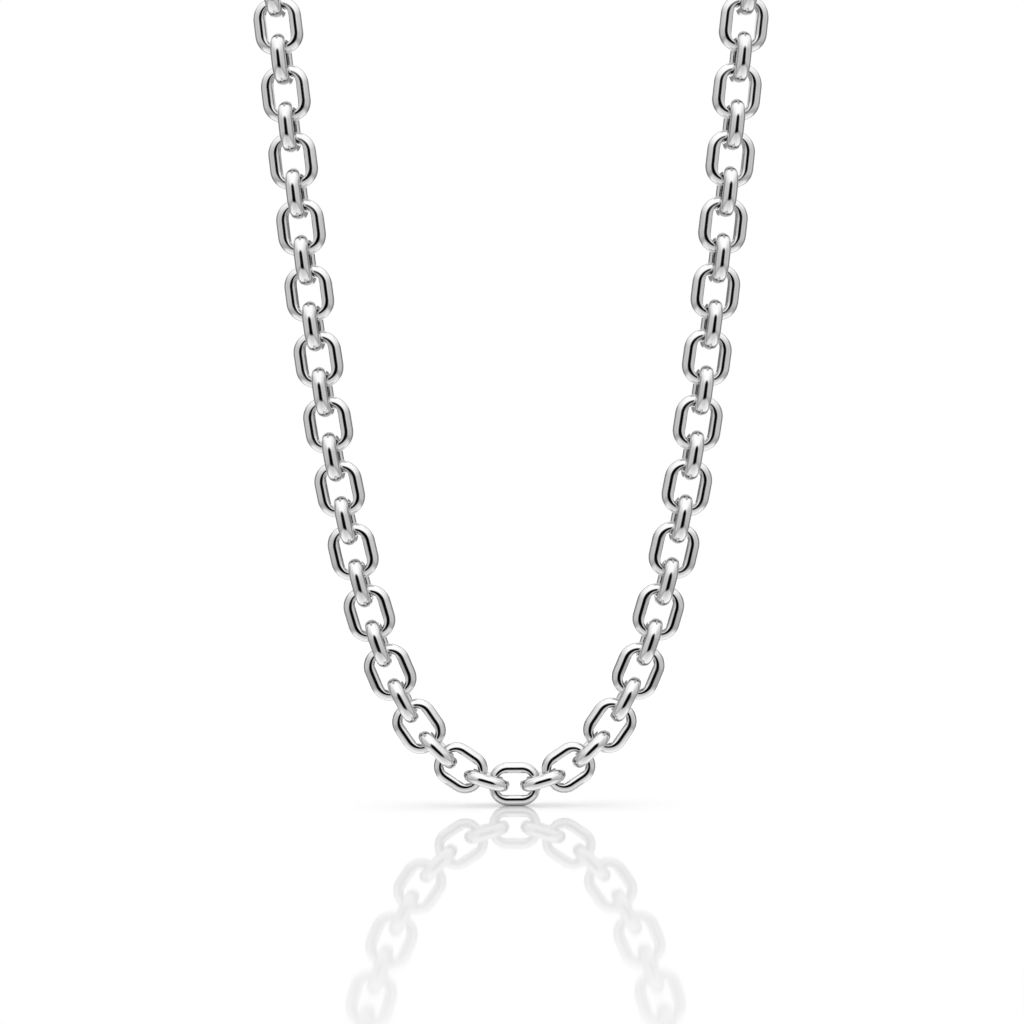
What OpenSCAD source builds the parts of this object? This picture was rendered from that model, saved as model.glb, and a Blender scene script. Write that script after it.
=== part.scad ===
// Cable chain necklace of plain polished links: every second link faces the front, the ones
// between stand edge-on, and the whole loop closes in one plain clasp at the back of the neck.
// +X is the wearer's left as seen from the front, -Y is the front, +Z is up, all in millimetres.
// The origin is the middle of the clasp's inner face, where the necklace rests on the nape.

/* [Links] */
// outer width of a link across its two long sides
link_width = 7; // [4:0.1:10]
// outer length of the links that face the front
face_length = 8.25; // [5:0.05:12]
// outer length of the links that stand edge-on
edge_length = 7.5; // [5:0.05:12]
// diameter of the round wire, seen from the link's side
wire = 2.08; // [1:0.02:3]
// thickness left at the two long sides, where the inner face is dressed flat
side_thick = 1.74; // [0.8:0.02:3]
// thickness left at the two ends, inside the bends
end_thick = 1.4; // [0.8:0.01:3]
// bend radius of the wire's centre line at the four corners
bend = 1.95; // [0.6:0.05:3]
// corner radius of the flat inner face
hole_corner = 0.8; // [0.4:0.05:2]

/* [Chain] */
// links from the top of the hanging front to the clasp, on each side, always an even number
back_links = 36; // [20:2:60]
// share by which the front links shrink evenly on the way down
taper = 0.03; // [0:0.005:0.1]
// further share by which the lowest link is smaller
foot_cut = 0.08; // [0:0.005:0.2]
// number of links over which that share dies away
foot_reach = 3.8; // [1:0.1:10]
// turn in degrees of each hanging strand about its own run, which shows the links' rear legs
side_turn = 8.2; // [0:0.1:12]
// number of links over which that turn grows from the lowest link upwards
turn_reach = 10; // [6:0.5:20]

/* [Drape] */
// how far in front of the nape the hanging front lies
front_depth = 104; // [80:1:140]
// how far below the nape the lowest link's centre hangs
drop = 199; // [150:1:300]
// half the width of the loop at the sides of the neck
neck_half = 54; // [40:1:80]
// how far in front of the nape the loop is widest
side_depth = 49; // [30:1:80]
// how far below the nape the loop is widest
side_drop = 21; // [5:1:60]

/* [Clasp] */
// hole radius of the closed claw that holds the chain's left end
claw_hole = 2.15; // [1.6:0.05:3]
// wire radius of the claw
claw_wire = 0.95; // [0.6:0.05:1.6]
// hole radius of the eye that holds the chain's right end
eye_hole = 1.85; // [1.5:0.05:3]
// wire radius of the eye
eye_wire = 0.95; // [0.6:0.05:1.4]
// depth of the block between claw and eye, from the nape outwards
clasp_depth = 3; // [2:0.1:5]
// clearance that each end link keeps in its hole
end_play = 0.3; // [0.1:0.01:0.5]

/* [Hidden] */
$fn = 48;
silver = "#c6c9cd";
// the hanging front: rest place of each link that faces the front, from the lowest one up
// [distance from the middle, height above the lowest link, lean of the link's long axis in degrees]
front_rest = [
    [0.00, 0.00, 0.0],
    [7.69, 2.34, 33.7],
    [13.63, 8.30, 55.2],
    [17.71, 16.03, 66.8],
    [20.63, 24.46, 73.4],
    [22.91, 33.26, 76.9],
    [24.79, 42.24, 78.6],
    [26.39, 51.40, 80.8],
    [27.73, 60.73, 81.7],
    [29.00, 70.16, 82.6],
    [30.13, 79.61, 83.0],
    [31.21, 89.11, 83.3],
    [32.21, 98.71, 83.3],
    [33.23, 108.39, 83.2]
];
front_last = 2 * (len(front_rest) - 1);
last_link = front_last + back_links;
half_len = [face_length / 2, edge_length / 2];
link_half = link_width / 2;
r = wire / 2;
clasp_mid = clasp_depth / 2;
hole_flat = sqrt(pow(r, 2) - pow(end_thick - r, 2));
// distance of the end links' centres from the middle of the clasp, the same on both sides
claw_seat = sqrt(pow(claw_hole, 2) - pow(hole_flat, 2)) - end_play + half_len[0] - end_thick;
eye_seat = sqrt(pow(eye_hole, 2) - pow(hole_flat, 2)) - end_play + half_len[0] - end_thick;
end_seat = 8.5;
claw_x = claw_seat - end_seat;
eye_x = end_seat - eye_seat;

function unit(v) = v / norm(v);
function bezier(p, t) =
    pow(1 - t, 3) * p[0] + 3 * t * pow(1 - t, 2) * p[1]
    + 3 * t * t * (1 - t) * p[2] + pow(t, 3) * p[3];

// place and direction of the hanging front, link by link: even numbers face the front
function face_place(i) =
    [front_rest[i / 2][0], -front_depth, front_rest[i / 2][1] - drop];
function edge_chord(i) = face_place(i + 1) - face_place(i - 1);
function edge_bow(i) =
    norm(edge_chord(i)) / 2 * tan((front_rest[(i + 1) / 2][2] - front_rest[(i - 1) / 2][2]) / 4);
function edge_place(i) =
    let (c = unit(edge_chord(i)))
    (face_place(i + 1) + face_place(i - 1)) / 2 + edge_bow(i) * [c[2], 0, -c[0]];
function front_place(i) = i % 2 == 0 ? face_place(i) : edge_place(i);
function front_dir(i) =
    i % 2 == 0
        ? [cos(front_rest[i / 2][2]), 0, sin(front_rest[i / 2][2])]
        : unit(edge_chord(i));

// the way on from the front's top link, over the shoulder and round the neck to the nape
top_place = front_place(front_last);
side_dir = unit([0, 0.82, 0.57]);
side_place = [neck_half, -side_depth, -side_drop];
nape_place = [0, clasp_mid, 0];
rise_curve = [top_place, top_place + 40 * front_dir(front_last), side_place - 32 * side_dir, side_place];
nape_curve = [side_place, side_place + 29 * side_dir, nape_place + [30, 0, 0], nape_place];
way_steps = 240;
function way(t) = t < 1 ? bezier(rise_curve, t) : bezier(nape_curve, t - 1);
way_points = [for (i = [0:way_steps]) way(2 * i / way_steps)];
way_runs = [
    for (i = 0, s = 0; i <= way_steps;
        s = s + (i < way_steps ? norm(way_points[i + 1] - way_points[i]) : 0), i = i + 1) s
];
way_table = [for (i = [0:way_steps]) [way_runs[i], 2 * i / way_steps]];
back_pitch = (way_runs[way_steps] - end_seat) / back_links;
function back_place(i) = way(lookup((i - front_last) * back_pitch, way_table));
function back_dir(i) =
    unit(way(lookup((i - front_last) * back_pitch + 1, way_table))
        - way(lookup((i - front_last) * back_pitch - 1, way_table)));

function place(i) = i <= front_last ? front_place(i) : back_place(i);
function dir(i) = i <= front_last ? front_dir(i) : back_dir(i);
// the side that faces the front is carried along without twist
function carried(n, t) = unit(n - (n * t) * t);
back_faces = [
    for (i = front_last, n = [0, -1, 0]; i <= last_link;
        i = i + 1, n = i <= last_link ? carried(n, dir(i)) : n) n
];
function face(i) = i <= front_last ? [0, -1, 0] : back_faces[i - front_last];
function size(i) =
    i < front_last
        ? 1 - taper * (1 - i / front_last) - foot_cut * exp(-pow(i / foot_reach, 2))
        : 1;
function turn(i) =
    side_turn * (1 - exp(-pow(i / turn_reach, 1.5))) * min(1, (last_link - i) / back_links);
function roll(i) = turn(i) + (i % 2 == 0 ? 0 : 90);

// one quarter bend of the wire
module corner() {
    rotate_extrude(angle = 90)
        translate([bend, 0])
            circle(r = r);
}

// the bent and soldered wire, long way along X, lying in the XY plane
module wire_loop(half) {
    a = half - r;
    b = link_half - r;
    for (q = [0:3])
        translate([(q == 0 || q == 3 ? 1 : -1) * (a - bend), (q < 2 ? 1 : -1) * (b - bend), 0])
            rotate([0, 0, 90 * q])
                corner();
    for (s = [-1, 1])
        translate([0, s * b, 0])
            rotate([0, 90, 0])
                cylinder(h = 2 * (a - bend), r = r, center = true);
    for (s = [-1, 1])
        translate([s * a, 0, 0])
            rotate([90, 0, 0])
                cylinder(h = 2 * (b - bend), r = r, center = true);
}

// the flat inner face: a straight opening with round corners
module opening(half) {
    x = half - end_thick;
    y = link_half - side_thick;
    linear_extrude(height = 2 * wire, center = true)
        union() {
            square([2 * x, 2 * (y - hole_corner)], center = true);
            square([2 * (x - hole_corner), 2 * y], center = true);
            for (sx = [-1, 1])
                for (sy = [-1, 1])
                    translate([sx * (x - hole_corner), sy * (y - hole_corner)])
                        circle(r = hole_corner);
        }
}

module link(half) {
    difference() {
        wire_loop(half);
        opening(half);
    }
}

// link number i of the right half, counted from the lowest link
module placed_link(i) {
    p = place(i);
    t = dir(i);
    n = face(i);
    s = cross(n, t);
    multmatrix([
        [t[0], s[0], n[0], p[0]],
        [t[1], s[1], n[1], p[1]],
        [t[2], s[2], n[2], p[2]],
        [0, 0, 0, 1]
    ])
        rotate([roll(i), 0, 0])
            scale(size(i))
                link(half_len[i % 2]);
}

module chain_right() {
    color(silver)
        for (i = [0:last_link])
            placed_link(i);
}

module chain_left() {
    color(silver)
        mirror([1, 0, 0])
            for (i = [1:last_link])
                placed_link(i);
}

// a closed ring lying in the XZ plane
module upright_ring(x, hole, wire_r) {
    translate([x, clasp_mid, 0])
        rotate([90, 0, 0])
            rotate_extrude()
                translate([hole + wire_r, 0])
                    circle(r = wire_r);
}

module clasp() {
    from_x = claw_x + claw_hole + 0.5;
    to_x = eye_x - eye_hole - 0.5;
    color(silver)
        union() {
            upright_ring(claw_x, claw_hole, claw_wire);
            upright_ring(eye_x, eye_hole, eye_wire);
            translate([from_x, 0, -clasp_depth / 2])
                cube([to_x - from_x, clasp_depth, clasp_depth]);
        }
}

chain_left();
chain_right();
clasp();
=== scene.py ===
import math
import bmesh
import bpy
import numpy as np
from mathutils import Matrix, Vector


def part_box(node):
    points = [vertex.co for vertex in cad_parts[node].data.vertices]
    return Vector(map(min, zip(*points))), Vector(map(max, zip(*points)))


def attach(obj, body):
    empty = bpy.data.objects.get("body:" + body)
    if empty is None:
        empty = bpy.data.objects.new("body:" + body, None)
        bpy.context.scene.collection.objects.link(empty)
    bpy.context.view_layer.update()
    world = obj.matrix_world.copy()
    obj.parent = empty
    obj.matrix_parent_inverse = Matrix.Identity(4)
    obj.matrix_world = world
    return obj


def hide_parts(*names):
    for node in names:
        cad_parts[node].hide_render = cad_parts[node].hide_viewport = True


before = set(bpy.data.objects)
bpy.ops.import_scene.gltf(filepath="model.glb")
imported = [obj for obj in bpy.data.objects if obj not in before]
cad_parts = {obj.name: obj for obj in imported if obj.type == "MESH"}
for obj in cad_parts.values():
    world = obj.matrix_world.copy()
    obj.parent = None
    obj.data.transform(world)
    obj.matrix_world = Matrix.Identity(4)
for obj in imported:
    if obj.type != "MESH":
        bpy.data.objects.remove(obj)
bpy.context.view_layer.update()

# The links. Each is a length of round silver wire bent to a rounded rectangle and soldered shut.
# Its inner face is dressed flat and the whole link is polished. Every second link faces the front,
# the ones between stand edge-on, and each passes through the next.
LINK_WIDTH = 0.0070
FACING_LENGTH = 0.00825
EDGE_LENGTH = 0.0075
LINK_SIZES = {
    "Link width": LINK_WIDTH,
    "Facing length": FACING_LENGTH,
    "Edge length": EDGE_LENGTH,
    "Wire": 0.00208,
    "Side thickness": 0.00178,
    "End thickness": 0.00140,
    "Bend": 0.00195,
    "Inner corner": 0.0008,
    "Dressed edge": 0.00016,
}
BEND_STEPS = 10
WIRE_SIDES = 32
INSIDE_SHADE_LEAST, INSIDE_SHADE_MOST = 0.00008, 0.00018
SEAT_NEAR, SEAT_FAR = 0.0001, 0.0006
RUB_NEAR, RUB_FAR = 0.00025, 0.00085
TONE_SEED = 7
WELD = 1e-7


class Sock:
    """A node's output that can be used in sums, which adds the Math nodes."""

    def __init__(self, tree, socket):
        self.tree = tree
        self.socket = socket

    def math_node(self, operation, *values):
        made = self.tree.nodes.new("ShaderNodeMath")
        made.operation = operation
        for slot, value in zip(made.inputs, values):
            if isinstance(value, Sock):
                self.tree.links.new(value.socket, slot)
            else:
                slot.default_value = value
        return Sock(self.tree, made.outputs[0])

    def calc(self, operation, *others):
        return self.math_node(operation, self, *others)

    def __add__(self, other):
        return self.math_node("ADD", self, other)

    def __radd__(self, other):
        return self.math_node("ADD", other, self)

    def __sub__(self, other):
        return self.math_node("SUBTRACT", self, other)

    def __rsub__(self, other):
        return self.math_node("SUBTRACT", other, self)

    def __mul__(self, other):
        return self.math_node("MULTIPLY", self, other)

    def __rmul__(self, other):
        return self.math_node("MULTIPLY", other, self)

    def __truediv__(self, other):
        return self.math_node("DIVIDE", self, other)

    def __rtruediv__(self, other):
        return self.math_node("DIVIDE", other, self)


class Nodes:
    """Adds nodes to one tree from a type, its settings and the values or links of its inputs."""

    def __init__(self, tree):
        self.tree = tree

    def put(self, value, slot):
        if isinstance(value, Sock):
            self.tree.links.new(value.socket, slot)
        else:
            slot.default_value = value

    def add(self, kind, settings=None, out=None, **inputs):
        made = self.tree.nodes.new(kind)
        for name, value in (settings or {}).items():
            setattr(made, name, value)
        for name, value in inputs.items():
            wanted = name.replace("_", " ")
            self.put(value, next(s for s in made.inputs if s.enabled and s.name == wanted))
        return Sock(self.tree, next(s for s in made.outputs if s.enabled and out in (None, s.name)))

    def step(self, value, low, high):
        """A smooth passage from 0 at low to 1 at high."""
        return self.add("ShaderNodeMapRange", {"interpolation_type": "SMOOTHSTEP"}, "Result",
                        Value=value, From_Min=low, From_Max=high)

    def split(self, vector):
        """The three coordinates of a vector."""
        first = self.add("ShaderNodeSeparateXYZ", Vector=vector)
        return [Sock(self.tree, socket) for socket in first.socket.node.outputs]

    def mark(self, geometry, name, value, domain="POINT"):
        """Stores a number on each point or instance, which the metal reads as an attribute."""
        return self.add("GeometryNodeStoreNamedAttribute", {"data_type": "FLOAT", "domain": domain},
                        Geometry=geometry, Name=name, Value=value)

    def given(self, kind, name):
        """Reads what is stored on each place of a link."""
        return self.add("GeometryNodeInputNamedAttribute", {"data_type": kind}, "Attribute", Name=name)


HAZE_SCALE, HAZE_DETAIL, HAZE_ROUGHNESS = 260.0, 5.0, 0.6
HAZE_IN_COLOUR, HAZE_IN_GLOSS = (0.35, 0.75), (0.45, 0.80)
HAZE_SHADE, TONE_SHADE = 0.6, 0.4
HAZE_DULL, TONE_DULL = 0.04, 0.02
HAIR_SCALE, HAIR_DETAIL, HAIR_ROUGHNESS = 4200.0, 3.0, 0.7
HAIR_STRENGTH, HAIR_DEPTH = 0.02, 0.00001
# a dark tint mixed into the metal's colour: in the seats where the links meet it is partly oxide and
# partly painted contact shade, on the dressed inner face it is painted shade
SEAT_OXIDE_AND_SHADE = 0.70
OXIDE_AND_SHADE_TINT = (0.15, 0.15, 0.155)
INSIDE_PAINTED_SHADE = 0.60
RUBBED_DULL = 0.12


def silver(name, colour, shade, shine):
    """Polished silver: a near mirror with faint handling haze and hairlines. The links also give a
    tone each, a dark tint in their seats that is partly oxide and partly painted contact shade, painted
    shade on the dressed inner face and softly rubbed outer bends."""
    metal = bpy.data.materials.new(name)
    metal.use_nodes = True
    n = Nodes(metal.node_tree)
    body = metal.node_tree.nodes["Principled BSDF"]
    body.inputs["Metallic"].default_value = 1.0
    tone, seat, inside_shade, rubbed = (
        n.add("ShaderNodeAttribute", {"attribute_name": mark}, "Fac")
        for mark in ("tone", "seat", "inside_shade", "rubbed"))
    where = n.add("ShaderNodeTexCoord", out="Object")
    haze = n.add("ShaderNodeTexNoise", out="Fac", Vector=where,
                 Scale=HAZE_SCALE, Detail=HAZE_DETAIL, Roughness=HAZE_ROUGHNESS)
    hairs = n.add("ShaderNodeTexNoise", out="Fac", Vector=where,
                  Scale=HAIR_SCALE, Detail=HAIR_DETAIL, Roughness=HAIR_ROUGHNESS)
    shaded = n.step(haze, *HAZE_IN_COLOUR) * HAZE_SHADE + tone * TONE_SHADE
    clean = n.add("ShaderNodeMix", {"data_type": "RGBA"}, "Result",
                  Factor=shaded, A=(*colour, 1), B=(*shade, 1))
    # darken the colour towards the dark tint: in the seats partly oxide and partly painted contact shade,
    # on the inner face painted shade
    oxide_and_painted_shade = (seat * SEAT_OXIDE_AND_SHADE).calc("MAXIMUM", inside_shade * INSIDE_PAINTED_SHADE)
    n.put(n.add("ShaderNodeMix", {"data_type": "RGBA"}, "Result",
                Factor=oxide_and_painted_shade, A=clean, B=(*OXIDE_AND_SHADE_TINT, 1)), body.inputs["Base Color"])
    gloss_lost = n.step(haze, *HAZE_IN_GLOSS) * HAZE_DULL + tone * TONE_DULL + rubbed * RUBBED_DULL
    n.put(gloss_lost + shine, body.inputs["Roughness"])
    n.put(n.add("ShaderNodeBump", out="Normal", Strength=HAIR_STRENGTH, Distance=HAIR_DEPTH,
                Height=hairs), body.inputs["Normal"])
    return metal


CHAIN_COLOUR, CHAIN_SHADE, CHAIN_SHINE = (0.80, 0.80, 0.80), (0.76, 0.76, 0.765), 0.07
chain_silver = silver("polished_silver", CHAIN_COLOUR, CHAIN_SHADE, CHAIN_SHINE)


def bent_link(n, size, length):
    """Nodes for one link: wire swept round a rounded rectangle and dressed flat on the inside."""
    radius = size["Wire"] * 0.5
    outline = n.add("GeometryNodeCurvePrimitiveQuadrilateral", {"mode": "RECTANGLE"},
                    Width=length - size["Wire"], Height=size["Link width"] - size["Wire"])
    bent = n.add("GeometryNodeFilletCurve", {"mode": "POLY"},
                 Count=BEND_STEPS, Radius=size["Bend"], Curve=outline)
    round_wire = n.add("GeometryNodeCurvePrimitiveCircle", {"mode": "RADIUS"}, "Curve",
                       Resolution=WIRE_SIDES, Radius=radius)
    swept = n.add("GeometryNodeCurveToMesh", Curve=bent, Profile_Curve=round_wire)

    # how far each point lies beyond the flat-sided opening, below zero inside it
    x, y, _ = n.split(n.add("GeometryNodeInputPosition"))
    corner = size["Inner corner"]
    past_x = x.calc("ABSOLUTE") - (length * 0.5 - size["End thickness"] - corner)
    past_y = y.calc("ABSOLUTE") - (size["Link width"] * 0.5 - size["Side thickness"] - corner)
    out_x = past_x.calc("MAXIMUM", 0.0)
    out_y = past_y.calc("MAXIMUM", 0.0)
    reach = (out_x * out_x + out_y * out_y).calc("SQRT")
    beyond = reach + past_x.calc("MAXIMUM", past_y).calc("MINIMUM", 0.0) - corner

    # points inside the opening move out to its edge, with a soft passage to the round wire
    soft = size["Dressed edge"]
    push = ((beyond * beyond + soft * soft).calc("SQRT") - beyond) * 0.5
    by_end = past_x.calc("GREATER_THAN", past_y)
    by_corner = (out_x * out_y).calc("GREATER_THAN", 0.0)
    safe = reach.calc("MAXIMUM", WELD)
    way_x = by_corner * (out_x / safe) + (1 - by_corner) * by_end
    way_y = by_corner * (out_y / safe) + (1 - by_corner) * (1 - by_end)
    move = n.add("ShaderNodeCombineXYZ",
                 X=way_x * x.calc("SIGN") * push, Y=way_y * y.calc("SIGN") * push)
    # the inner face, dressed flat, is marked to be painted darker: painted shade on the inside of the
    # link
    inside_shade = n.mark(swept, "inside_shade", n.step(push, INSIDE_SHADE_LEAST, INSIDE_SHADE_MOST))
    dressed = n.add("GeometryNodeSetPosition", Geometry=inside_shade, Offset=move)

    # how near each point lies to the wire of the next link, which sits in this link's end; the metal is
    # painted darker there, partly as oxide and partly as painted contact shade
    along = x.calc("ABSOLUTE") - (length * 0.5 - size["End thickness"] - radius)
    clear = (along * along + y * y).calc("SQRT") - radius
    seat_oxide_and_shade_marked = n.mark(dressed, "seat", n.step(clear, SEAT_FAR, SEAT_NEAR))

    # how far each point lies in the outermost bend, which rubs on the wearer and loses its gloss
    from_tip = length * 0.5 - x.calc("ABSOLUTE")
    return n.mark(seat_oxide_and_shade_marked, "rubbed", n.step(from_tip, RUB_FAR, RUB_NEAR))


def link_maker(metal):
    """Geometry nodes: one link of each length, set on every place with its own turn and size."""
    group = bpy.data.node_groups.new("half_chain", "GeometryNodeTree")
    group.interface.new_socket("Places", in_out="INPUT", socket_type="NodeSocketGeometry")
    for name in LINK_SIZES:
        group.interface.new_socket(name, in_out="INPUT", socket_type="NodeSocketFloat")
    group.interface.new_socket("Chain", in_out="OUTPUT", socket_type="NodeSocketGeometry")
    n = Nodes(group)
    entry = group.nodes.new("NodeGroupInput")
    places = Sock(group, entry.outputs["Places"])
    size = {name: Sock(group, entry.outputs[name]) for name in LINK_SIZES}

    facing = n.given("BOOLEAN", "facing")
    edge_on = n.add("FunctionNodeBooleanMath", {"operation": "NOT"}, Boolean=facing)
    turn = n.add("FunctionNodeEulerToRotation", Euler=n.given("FLOAT_VECTOR", "turn"))
    scale = n.given("FLOAT", "size")
    both = group.nodes.new("GeometryNodeJoinGeometry")
    for chosen, length in ((facing, "Facing length"), (edge_on, "Edge length")):
        link = bent_link(n, size, size[length])
        n.put(n.add("GeometryNodeInstanceOnPoints", Points=places, Selection=chosen,
                    Instance=link, Rotation=turn, Scale=scale), both.inputs[0])
    tone = n.add("FunctionNodeRandomValue", {"data_type": "FLOAT"}, "Value",
                 Min=0.0, Max=1.0, Seed=TONE_SEED)
    toned = n.mark(Sock(group, both.outputs[0]), "tone", tone, "INSTANCE")
    real = n.add("GeometryNodeRealizeInstances", Geometry=toned)
    smooth = n.add("GeometryNodeSetShadeSmooth", Geometry=real)
    clad = n.add("GeometryNodeSetMaterial", Geometry=smooth, Material=metal)
    n.put(clad, group.nodes.new("NodeGroupOutput").inputs[0])
    return group


def link_solids(node):
    """The triangles of each separate link of a CAD node, as arrays of corner points."""
    welded = bmesh.new()
    welded.from_mesh(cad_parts[node].data)
    bmesh.ops.remove_doubles(welded, verts=welded.verts, dist=WELD)
    welded.faces.ensure_lookup_table()
    seen = set()
    for first in welded.faces:
        if first in seen:
            continue
        seen.add(first)
        link = []
        waiting = [first]
        while waiting:
            face = waiting.pop()
            link.append([corner.vert.co[:] for corner in face.loops])
            for edge in face.edges:
                for beside in edge.link_faces:
                    if beside not in seen:
                        seen.add(beside)
                        waiting.append(beside)
        yield np.array(link)
    welded.free()


def link_place(triangles):
    """Centre of a closed solid, its own three axes, the one along which it spreads most first, and
    its lengths along them."""
    volumes = np.linalg.det(triangles)
    centre = (volumes[:, None] * triangles.sum(axis=1)).sum(axis=0) / (4 * volumes.sum())
    around = triangles - centre
    volumes = np.linalg.det(around)
    sums = around.sum(axis=1)
    spread = np.einsum("i,ij,ik->jk", volumes, sums, sums)
    spread = spread + np.einsum("i,inj,ink->jk", volumes, around, around)
    axes = np.linalg.eigh(spread)[1][:, ::-1]
    if np.linalg.det(axes) < 0:
        axes[:, 2] *= -1
    return centre, axes, np.ptp(around.reshape(-1, 3) @ axes, axis=0)


def half_chain(node, maker):
    """All the links of one CAD node in one mesh, each at the place of its CAD solid."""
    found = [link_place(solid) for solid in link_solids(node)]
    places = bpy.data.meshes.new(node + "_places")
    places.from_pydata([centre for centre, _, _ in found], [], [])
    for name, kind in (("turn", "FLOAT_VECTOR"), ("size", "FLOAT"), ("facing", "BOOLEAN")):
        places.attributes.new(name, kind, "POINT")
    shape_parting = (FACING_LENGTH + EDGE_LENGTH) / 2 / LINK_WIDTH
    for k, (_, axes, span) in enumerate(found):
        places.attributes["turn"].data[k].vector = Matrix(axes).to_euler("XYZ")
        places.attributes["size"].data[k].value = span[1] / LINK_WIDTH
        places.attributes["facing"].data[k].value = bool(span[0] / span[1] > shape_parting)
    holder = bpy.data.objects.new(node + "_places", places)
    bpy.context.scene.collection.objects.link(holder)
    modifier = holder.modifiers.new("links", "NODES")
    modifier.node_group = maker
    for item in maker.interface.items_tree:
        if item.in_out == "INPUT" and item.name in LINK_SIZES:
            modifier[item.identifier] = LINK_SIZES[item.name]
    ready = holder.evaluated_get(bpy.context.evaluated_depsgraph_get())
    piece = bpy.data.objects.new(node + "_links", bpy.data.meshes.new_from_object(ready))
    bpy.context.scene.collection.objects.link(piece)
    bpy.data.objects.remove(holder)
    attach(piece, "root")
    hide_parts(node)


maker = link_maker(chain_silver)
half_chain("chain_right", maker)
half_chain("chain_left", maker)

# The clasp. One plain silver casting at the nape: a closed claw ring that holds the left end of the
# chain, a smaller eye for the right end, and a rounded barrel between them, polished after casting.
CLAW_HOLE, EYE_HOLE = 0.00215, 0.00185
RING_WIRE = 0.00095
RING_POINTS = 20
BARREL_DEPTH = 0.0030
BARREL_BITE = 0.6
SHOULDER_SHARE, SHOULDER_STEPS = 0.45, 7
NEAR_AXIS = 0.00001
TURN_STEPS = 48
CASTING_GRAIN = 0.00011
CASTING_SOFTENING = 6
CLASP_COLOUR, CLASP_SHADE, CLASP_SHINE = (0.79, 0.79, 0.785), (0.74, 0.74, 0.735), 0.14
clasp_low, clasp_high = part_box("clasp")
clasp_mid = (clasp_low + clasp_high) / 2
claw_x = clasp_low.x + CLAW_HOLE + 2 * RING_WIRE
eye_x = clasp_high.x - EYE_HOLE - 2 * RING_WIRE
casting = bmesh.new()


def turned(outline, x, axis):
    """Adds a closed ring or barrel: an outline of (radius, height) turned round an axis at x."""
    centre = Vector((x, clasp_mid.y, clasp_mid.z))
    upright = Vector((0, 0, 1)).rotation_difference(Vector(axis)).to_matrix()
    rows = []
    for k in range(TURN_STEPS):
        a = 2 * math.pi * k / TURN_STEPS
        spots = (Vector((r * math.cos(a), r * math.sin(a), h)) for r, h in outline)
        rows.append([casting.verts.new(centre + upright @ spot) for spot in spots])
    for k in range(TURN_STEPS):
        here = rows[k]
        after = rows[(k + 1) % TURN_STEPS]
        for j in range(len(outline)):
            nxt = (j + 1) % len(outline)
            casting.faces.new((here[j], after[j], after[nxt], here[nxt]))


def ring_outline(hole):
    angles = [2 * math.pi * k / RING_POINTS for k in range(RING_POINTS)]
    return [(hole + RING_WIRE + RING_WIRE * math.cos(a), RING_WIRE * math.sin(a)) for a in angles]


def barrel_outline(half, thick, neck):
    """Half length, greatest radius and radius at the ends of a barrel, closed along its axis."""
    shares = [k / SHOULDER_STEPS for k in range(SHOULDER_STEPS + 1)]
    rise = [(neck + (thick - neck) * math.sin(math.pi / 2 * share), -half + half * SHOULDER_SHARE * share)
            for share in shares]
    fall = [(r, -h) for r, h in reversed(rise)]
    return [(NEAR_AXIS, -half), *rise, *fall, (NEAR_AXIS, half)]


turned(ring_outline(CLAW_HOLE), claw_x, (0, 1, 0))
turned(ring_outline(EYE_HOLE), eye_x, (0, 1, 0))
barrel_from = claw_x + CLAW_HOLE + RING_WIRE * BARREL_BITE
barrel_to = eye_x - EYE_HOLE - RING_WIRE * BARREL_BITE
turned(barrel_outline((barrel_to - barrel_from) / 2, BARREL_DEPTH / 2, RING_WIRE),
       (barrel_from + barrel_to) / 2, (1, 0, 0))
bmesh.ops.recalc_face_normals(casting, faces=casting.faces)
casting_mesh = bpy.data.meshes.new("clasp_casting")
casting.to_mesh(casting_mesh)
casting.free()
clasp = bpy.data.objects.new("clasp_casting", casting_mesh)
bpy.context.scene.collection.objects.link(clasp)
joined = clasp.modifiers.new("cast in one", "REMESH")
joined.mode = "VOXEL"
joined.voxel_size = CASTING_GRAIN
softened = clasp.modifiers.new("polished joints", "SMOOTH")
softened.iterations = CASTING_SOFTENING
ready = clasp.evaluated_get(bpy.context.evaluated_depsgraph_get())
clasp.data = bpy.data.meshes.new_from_object(ready)
clasp.modifiers.clear()
clasp.data.shade_smooth()
clasp.data.materials.clear()
clasp.data.materials.append(silver("clasp_silver", CLASP_COLOUR, CLASP_SHADE, CLASP_SHINE))
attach(clasp, "root")
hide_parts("clasp")

# The floor. A white table top that carries the lowest link, lacquered to a gloss that fades out with
# distance. The metal mirrors only its near part, under and behind the lowest link, which darkens the
# line of contact, and elsewhere the pale floor of the studio.
TABLE_HALF = 6.0
NEAR_TABLE, TABLE_BACK = 0.012, 0.0145
CORNERS = ((-1, -1), (1, -1), (1, 1), (-1, 1))
MIRROR_IOR = 1.085
MIRROR_ROUGHNESS = 0.04
MIRROR_REACH, MIRROR_END = 0.22, 0.60
PAINT_NEAR, PAINT_FAR = (0.89, 0.89, 0.89, 1), (0.96, 0.96, 0.96, 1)
LACQUER = (1, 1, 1, 1)
chain_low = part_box("chain_right")[0]
gloss = bpy.data.materials.new("white_gloss")
gloss.use_nodes = True
n = Nodes(gloss.node_tree)
from_foot = n.add("ShaderNodeVectorMath", {"operation": "LENGTH"}, "Value",
                  Vector=n.add("ShaderNodeTexCoord", out="Object"))
away = n.step(from_foot, MIRROR_REACH, MIRROR_END)
paint_tone = n.add("ShaderNodeMix", {"data_type": "RGBA"}, "Result",
                   Factor=away, A=PAINT_NEAR, B=PAINT_FAR)
paint = n.add("ShaderNodeBsdfDiffuse", Color=paint_tone)
lacquer = n.add("ShaderNodeBsdfAnisotropic", Color=LACQUER, Roughness=MIRROR_ROUGHNESS)
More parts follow.
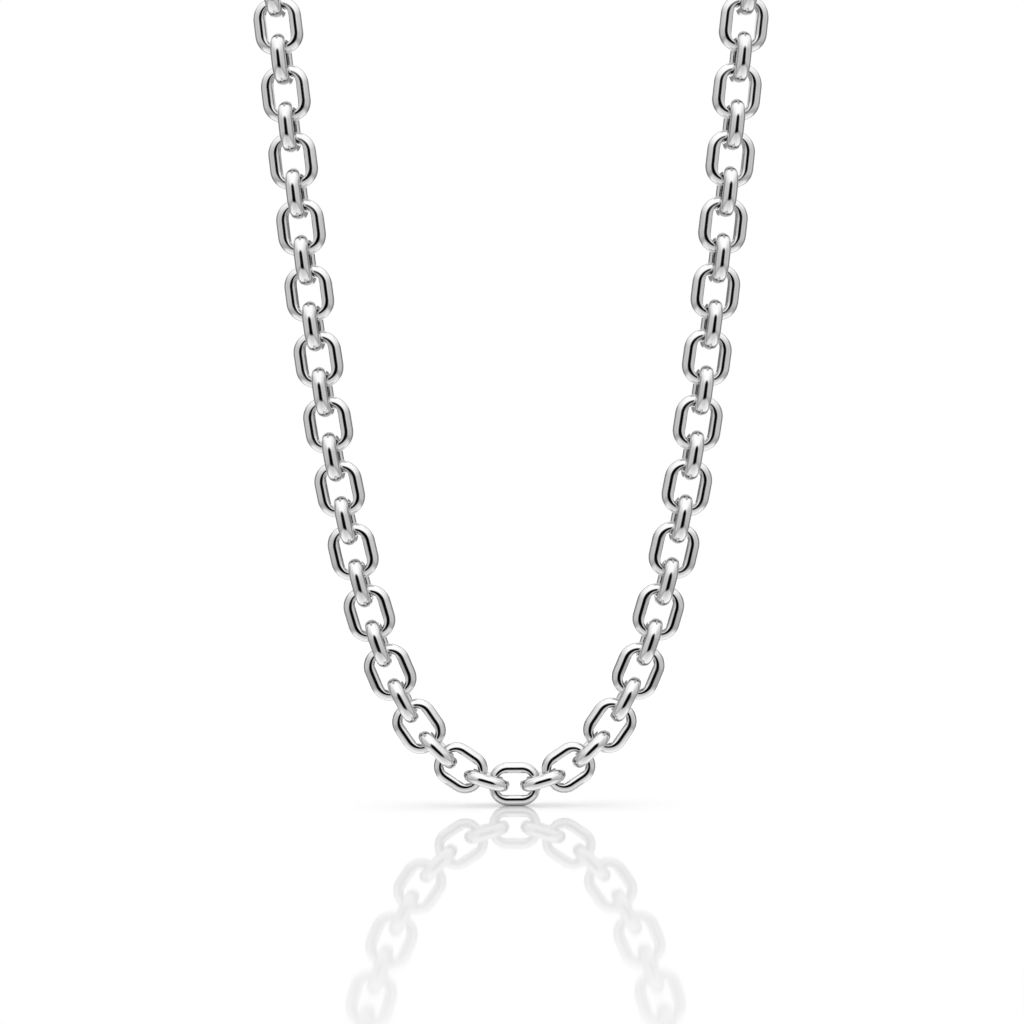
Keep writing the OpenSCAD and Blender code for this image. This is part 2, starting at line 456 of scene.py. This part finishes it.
mirrored = n.add("ShaderNodeFresnel", IOR=MIRROR_IOR) * (1 - away)
coated = gloss.node_tree.nodes.new("ShaderNodeMixShader")
for part_of_coat, slot in zip((mirrored, paint, lacquer), coated.inputs):
    n.put(part_of_coat, slot)
n.put(Sock(gloss.node_tree, coated.outputs[0]), gloss.node_tree.nodes["Material Output"].inputs[0])


def table_part(name, rings, faces):
    """Part of the table top, on square rings of the given half widths."""
    mesh = bpy.data.meshes.new(name)
    mesh.from_pydata([(x * half, y * half, 0) for half in rings for x, y in CORNERS], [], faces)
    mesh.materials.append(gloss)
    part = bpy.data.objects.new(name, mesh)
    part.location = (0, chain_low.y + TABLE_BACK, chain_low.z)
    bpy.context.scene.collection.objects.link(part)
    return part


table_near = table_part("table_near", (NEAR_TABLE,), [(0, 1, 2, 3)])
table_far = table_part("table_far", (NEAR_TABLE, TABLE_HALF),
                       [(0, 4, 5, 1), (1, 5, 6, 2), (2, 6, 7, 3), (3, 7, 4, 0)])
table_far.visible_glossy = False

# The light. A white room: a broad soft box overhead, grey side walls, a pale floor below, a dark gap
# round the backdrop that outlines the wire, and the dark camera in front, which draws the black line
# along each wire's crest. The camera itself sees plain white, and the table plain soft light.
WALL, WALL_STREAK = 0.70, 0.06
STREAKS, STREAK_START = 5.0, 0.6
LOW_SHADE, LOW_EDGE = 0.50, (-0.10, -0.42)
BELOW_FRONT, BELOW, BELOW_BACK = 0.70, 1.08, 1.35
BELOW_EDGE = (-0.45, -0.68)
BELOW_MIDDLE, BELOW_REAR = (-1.0, 0.1), (0.1, 0.5)
OVERHEAD, OVERHEAD_EDGE = 1.27, (0.10, 1.0)
BEHIND, BEHIND_EDGE = 0.38, (0.02, 0.35)
GAP, GAP_HIGH_AND_LOW, GAP_EDGE = 0.20, 0.55, (0.48, 0.60)
HIGH_AND_LOW = (0.30, 0.60)
BACKDROP, BACKDROP_EDGE = 1.25, (0.78, 0.90)
BACK_SIDE, BACK_SIDE_FROM, BACK_SIDE_TALL = 0.28, (0.17, 0.24), (0.22, 0.14)
CAMERA_HALF, CAMERA_SPREAD = 0.44, 0.22
CAMERA_TALL, CAMERA_LIFT = 0.40, 0.04
CAMERA_SQUARE = 3.2
CAMERA_EDGE, CAMERA_SIDE = (1.32, 0.68), (0.0, -0.3)
SECOND, SECOND_FROM = 0.80, (1.0, 3.0)
AMBIENT, LAMP, LAMP_EDGE = 0.80, 1.90, (0.80, 0.94)
CAMERA_WHITE = 1.0
LEAST = 0.0001
room = bpy.data.worlds.new("white_room")
bpy.context.scene.world = room
room.use_nodes = True
n = Nodes(room.node_tree)
x, y, z = n.split(n.add("ShaderNodeTexCoord", out="Generated"))
aside = x.calc("ABSOLUTE")
tall = z.calc("ABSOLUTE")
rise = z / (x * x + z * z + LEAST).calc("SQRT")


def blend(under, over, share):
    return under + (over - under) * share


streak = (y * STREAKS + STREAK_START).calc("SINE")
high_and_low = n.step(tall, *HIGH_AND_LOW)
light = streak * WALL_STREAK + WALL
below = blend(BELOW_FRONT, BELOW, n.step(y, *BELOW_MIDDLE))
below = blend(below, BELOW_BACK, n.step(y, *BELOW_REAR))
light = blend(light, LOW_SHADE, n.step(rise, *LOW_EDGE))
light = blend(light, below, n.step(rise, *BELOW_EDGE))
light = blend(light, OVERHEAD, n.step(rise, *OVERHEAD_EDGE))
light = blend(light, BEHIND, n.step(y, *BEHIND_EDGE) * (1 - high_and_low))
light = blend(light, blend(GAP, GAP_HIGH_AND_LOW, high_and_low), n.step(y, *GAP_EDGE))
back_side = n.step(aside, *BACK_SIDE_FROM) * n.step(tall, *BACK_SIDE_TALL)
light = blend(light, blend(BACKDROP, BACK_SIDE, back_side), n.step(y, *BACKDROP_EDGE))

# the dark camera: a rounded square ahead, wider below than above
across = (aside / (z * -CAMERA_SPREAD + CAMERA_HALF)).calc("POWER", CAMERA_SQUARE)
updown = (tall / (z * CAMERA_LIFT + CAMERA_TALL)).calc("POWER", CAMERA_SQUARE)
from_axis = (across + updown).calc("POWER", 1 / CAMERA_SQUARE)
dark = n.step(from_axis, *CAMERA_EDGE) * n.step(y, *CAMERA_SIDE)
light = light * (1 - dark)

# what metal sees in metal is softer, what the table sees is a lamp above in plain light
bounces = n.add("ShaderNodeLightPath", out="Glossy Depth")
light = blend(light, SECOND, n.step(bounces, *SECOND_FROM))
plain = blend(AMBIENT, LAMP, n.step(z, *LAMP_EDGE))
light = blend(plain, light, n.add("ShaderNodeLightPath", out="Is Glossy Ray"))
light = blend(light, CAMERA_WHITE, n.add("ShaderNodeLightPath", out="Is Camera Ray"))
n.put(light, room.node_tree.nodes["Background"].inputs["Strength"])
room.node_tree.nodes["Background"].inputs["Color"].default_value = (1, 1, 1, 1)

# The camera. Level and far away with a long lens, its axis about a third of the way up the part of
# the chain that the photograph shows, and turned a quarter of a degree as the photograph is.
PICTURE = 1024
PIXEL = 0.001 / 7.0
LENS_PIXELS = 2800.0
FLOOR_ROW = 805.6
CENTRE_SHIFT = 1.4
LEAN = 0.28
SENSOR = 36
NEAREST = 0.01
eye = bpy.data.cameras.new("camera")
eye.sensor_width = SENSOR
eye.lens = SENSOR * LENS_PIXELS / PICTURE
eye.clip_start = NEAREST
camera = bpy.data.objects.new("camera", eye)
camera.location = (
    -CENTRE_SHIFT * PIXEL,
    chain_low.y + LINK_WIDTH / 2 - LENS_PIXELS * PIXEL,
    chain_low.z + (FLOOR_ROW - PICTURE / 2) * PIXEL,
)
camera.rotation_euler = (math.radians(90), math.radians(LEAN), 0)
bpy.context.scene.collection.objects.link(camera)
bpy.context.scene.camera = camera
bpy.context.scene.view_settings.view_transform = "Standard"
